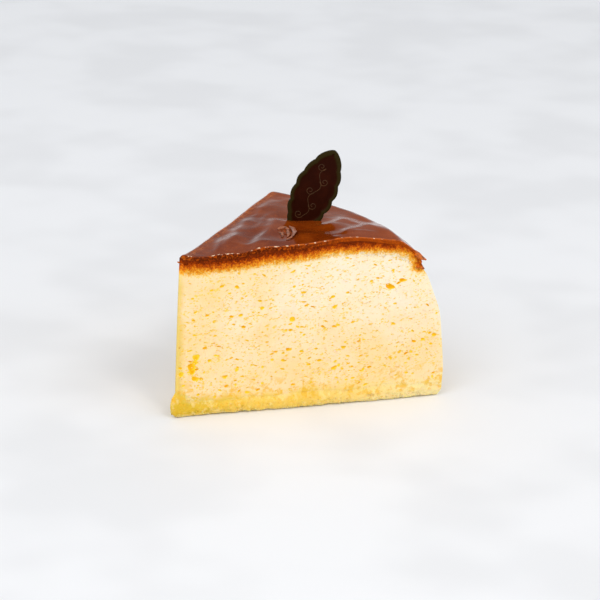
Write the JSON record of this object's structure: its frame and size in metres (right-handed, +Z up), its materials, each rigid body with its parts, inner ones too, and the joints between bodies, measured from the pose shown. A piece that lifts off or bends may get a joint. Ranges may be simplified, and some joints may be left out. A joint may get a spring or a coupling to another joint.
{
  "type": "slice of souffle cheesecake",
  "caption": "Tall wedge of souffle cheesecake with a glossy browned crown, a thin sponge base and a dark moulded leaf standing in the top.",
  "frame": {"origin": "under the middle of the slice's box, on the surface that the slice stands on", "axes": "+Z up; +X along the slice from its point to its outer side, halfway between the two cut faces"},
  "size_m": [0.0934, 0.0806, 0.0805],
  "materials": {
    "crumb": "soft pale cream crumb with small open holes, browning towards the top",
    "sponge": "moist yellow sponge",
    "dark_leaf": "dark moulded chocolate, satin",
    "glaze": "clear amber-brown glaze over the browned top, mirror gloss"
  },
  "bodies": {
    "root": {"cake": "crumb", "sponge_base": "sponge", "leaf_plaque": "dark_leaf"}
  },
  "joints": []
}
